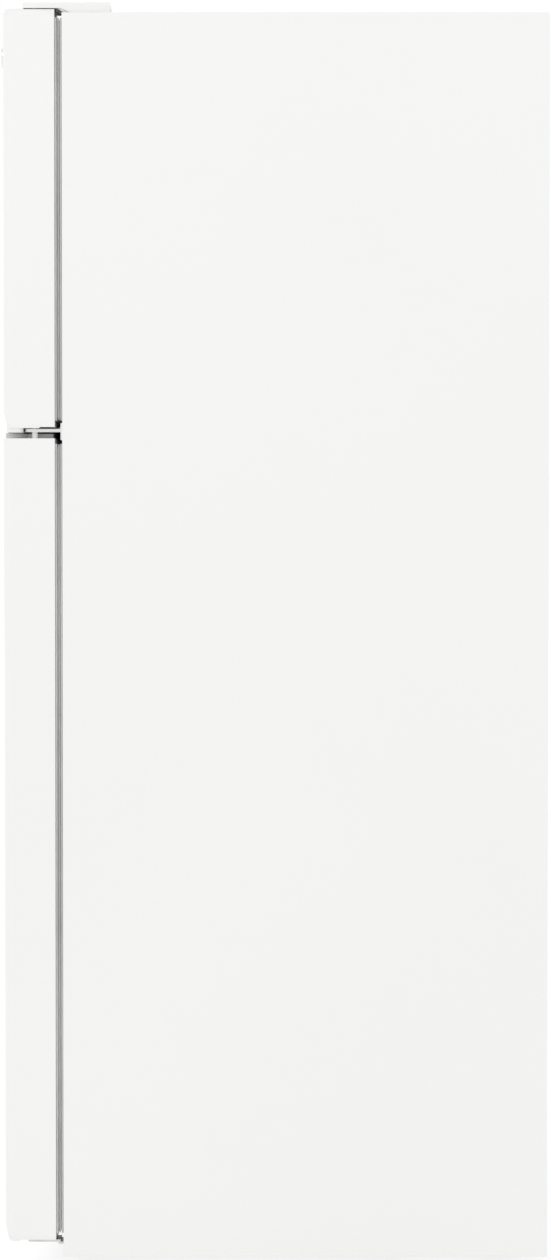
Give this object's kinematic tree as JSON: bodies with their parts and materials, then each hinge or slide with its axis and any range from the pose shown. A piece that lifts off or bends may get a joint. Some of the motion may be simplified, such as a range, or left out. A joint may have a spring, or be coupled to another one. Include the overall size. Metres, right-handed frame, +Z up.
{
  "type": "top freezer refrigerator",
  "caption": "White free-standing refrigerator with a freezer above, side-hinged doors, recessed finger pockets, shelves, drawers, door bins and a rear machine compartment.",
  "frame": {"origin": "centre of the footprint on the floor", "axes": "+Z up, the doors face -Y, +X towards the hinge side"},
  "size_m": [0.711, 0.7274, 1.681],
  "materials": {
    "white_steel": "gloss",
    "galvanised_steel": "satin",
    "foam": "matte",
    "liner_plastic": "satin",
    "white_plastic": "satin",
    "clear_plastic": "gloss",
    "lamp_lens": "satin",
    "shelf_glass": "gloss",
    "gasket_vinyl": "matte",
    "badge_metal": "gloss",
    "hinge_steel": "satin",
    "coated_wire": "gloss",
    "coil_aluminium": "satin",
    "black_enamel": "gloss",
    "black_plastic": "matte",
    "grey_plastic": "matte",
    "black_rubber": "matte"
  },
  "bodies": {
    "cabinet": {"left_side_panel": "white_steel", "right_side_panel": "white_steel", "top_panel": "white_steel", "back_panel": "galvanised_steel", "bottom_deck": "galvanised_steel", "cabinet_foam": "foam", "freezer_liner": "liner_plastic", "fresh_food_liner": "liner_plastic", "mullion_trim": "white_steel", "shelf_frames": "white_plastic", "shelf_glass": "shelf_glass", "control_housing": "liner_plastic", "lamp": "lamp_lens", "freezer_shelf": "coated_wire", "evaporator_cover": "liner_plastic", "evaporator_coil": "coil_aluminium", "evaporator_fan_motor": "galvanised_steel", "top_hinge": "hinge_steel", "top_hinge_cover": "white_plastic", "centre_hinge": "white_steel", "bottom_hinge": "hinge_steel", "screws": "hinge_steel", "base_frame": "galvanised_steel", "base_grille": "black_plastic", "compressor": "black_enamel", "compressor_grommets": "black_rubber", "start_relay_box": "black_plastic", "condenser_coil": "coil_aluminium", "condenser_fan_motor": "galvanised_steel", "drain_pan": "black_plastic", "machine_cover": "galvanised_steel", "power_inlet": "black_plastic"},
    "freezer_door": {"freezer_door_skin": "white_steel", "freezer_door_inner_panel": "liner_plastic", "freezer_door_foam": "foam", "freezer_door_top_cap": "white_plastic", "freezer_door_bottom_cap": "white_plastic", "freezer_door_gasket": "gasket_vinyl", "freezer_door_handle": "white_plastic", "freezer_door_bins": "clear_plastic", "badge": "badge_metal"},
    "fridge_door": {"fridge_door_skin": "white_steel", "fridge_door_inner_panel": "liner_plastic", "fridge_door_foam": "foam", "fridge_door_top_cap": "white_plastic", "fridge_door_bottom_cap": "white_plastic", "fridge_door_gasket": "gasket_vinyl", "fridge_door_handle": "white_plastic", "fridge_door_bins": "clear_plastic"},
    "evaporator_fan": {"evaporator_fan": "black_plastic"},
    "condenser_fan": {"condenser_fan": "black_plastic"},
    "fridge_dial": {"fridge_dial": "white_plastic"},
    "light_switch_plunger": {"light_switch_plunger": "liner_plastic"},
    "left_crisper": {"left_crisper": "clear_plastic"},
    "right_crisper": {"right_crisper": "clear_plastic"},
    "left_levelling_leg": {"left_levelling_leg": "grey_plastic"},
    "right_levelling_leg": {"right_levelling_leg": "grey_plastic"},
    "left_rear_roller": {"left_rear_roller": "grey_plastic"},
    "right_rear_roller": {"right_rear_roller": "grey_plastic"},
    "dairy_lid": {"dairy_lid": "white_plastic"}
  },
  "joints": [
    {"name": "freezer_door_hinge", "type": "hinge", "parent": "cabinet", "child": "freezer_door", "pos_m": [0.3405, -0.3204, 1.117], "axis": [0, 0, 1], "range_deg": [0, 130]},
    {"name": "fridge_door_hinge", "type": "hinge", "parent": "cabinet", "child": "fridge_door", "pos_m": [0.3405, -0.3204, 1.1], "axis": [0, 0, 1], "range_deg": [0, 130]},
    {"name": "left_crisper_slide", "type": "slide", "parent": "cabinet", "child": "left_crisper", "axis": [0, -1, 0], "range_m": [0, 0.2]},
    {"name": "right_crisper_slide", "type": "slide", "parent": "cabinet", "child": "right_crisper", "axis": [0, -1, 0], "range_m": [0, 0.2]},
    {"name": "light_switch_press", "type": "slide", "parent": "cabinet", "child": "light_switch_plunger", "axis": [0, -1, 0], "range_m": [0, 0.008]},
    {"name": "dairy_lid_hinge", "type": "hinge", "parent": "fridge_door", "child": "dairy_lid", "pos_m": [0, -0.184, 1.035], "axis": [1, 0, 0], "range_deg": [0, 80]},
    {"name": "fridge_dial_turn", "type": "hinge", "parent": "cabinet", "child": "fridge_dial", "pos_m": [0.105, -0.085, 1.051], "axis": [0, -1, 0], "range_deg": [-135, 135]},
    {"name": "evaporator_fan_spin", "type": "hinge", "parent": "cabinet", "child": "evaporator_fan", "pos_m": [0, 0.268, 1.535], "axis": [0, 1, 0], "continuous": true},
    {"name": "condenser_fan_spin", "type": "hinge", "parent": "cabinet", "child": "condenser_fan", "pos_m": [0.02, 0.262, 0.12], "axis": [1, 0, 0], "continuous": true},
    {"name": "left_leg_screw", "type": "hinge", "parent": "cabinet", "child": "left_levelling_leg", "pos_m": [-0.29, -0.225, 0.01], "axis": [0, 0, 1], "continuous": true},
    {"name": "right_leg_screw", "type": "hinge", "parent": "cabinet", "child": "right_levelling_leg", "pos_m": [0.29, -0.225, 0.01], "axis": [0, 0, 1], "continuous": true},
    {"name": "left_roller_spin", "type": "hinge", "parent": "cabinet", "child": "left_rear_roller", "pos_m": [-0.3, 0.3, 0.018], "axis": [1, 0, 0], "continuous": true},
    {"name": "right_roller_spin", "type": "hinge", "parent": "cabinet", "child": "right_rear_roller", "pos_m": [0.3, 0.3, 0.018], "axis": [1, 0, 0], "continuous": true}
  ],
  "couplings": [
    {"joint": "left_crisper_slide", "follows": "fridge_door_hinge", "m_per_rad": 0.088103},
    {"joint": "right_crisper_slide", "follows": "fridge_door_hinge", "m_per_rad": 0.088103},
    {"joint": "light_switch_press", "follows": "fridge_door_hinge", "m_per_rad": 0.0035215}
  ]
}
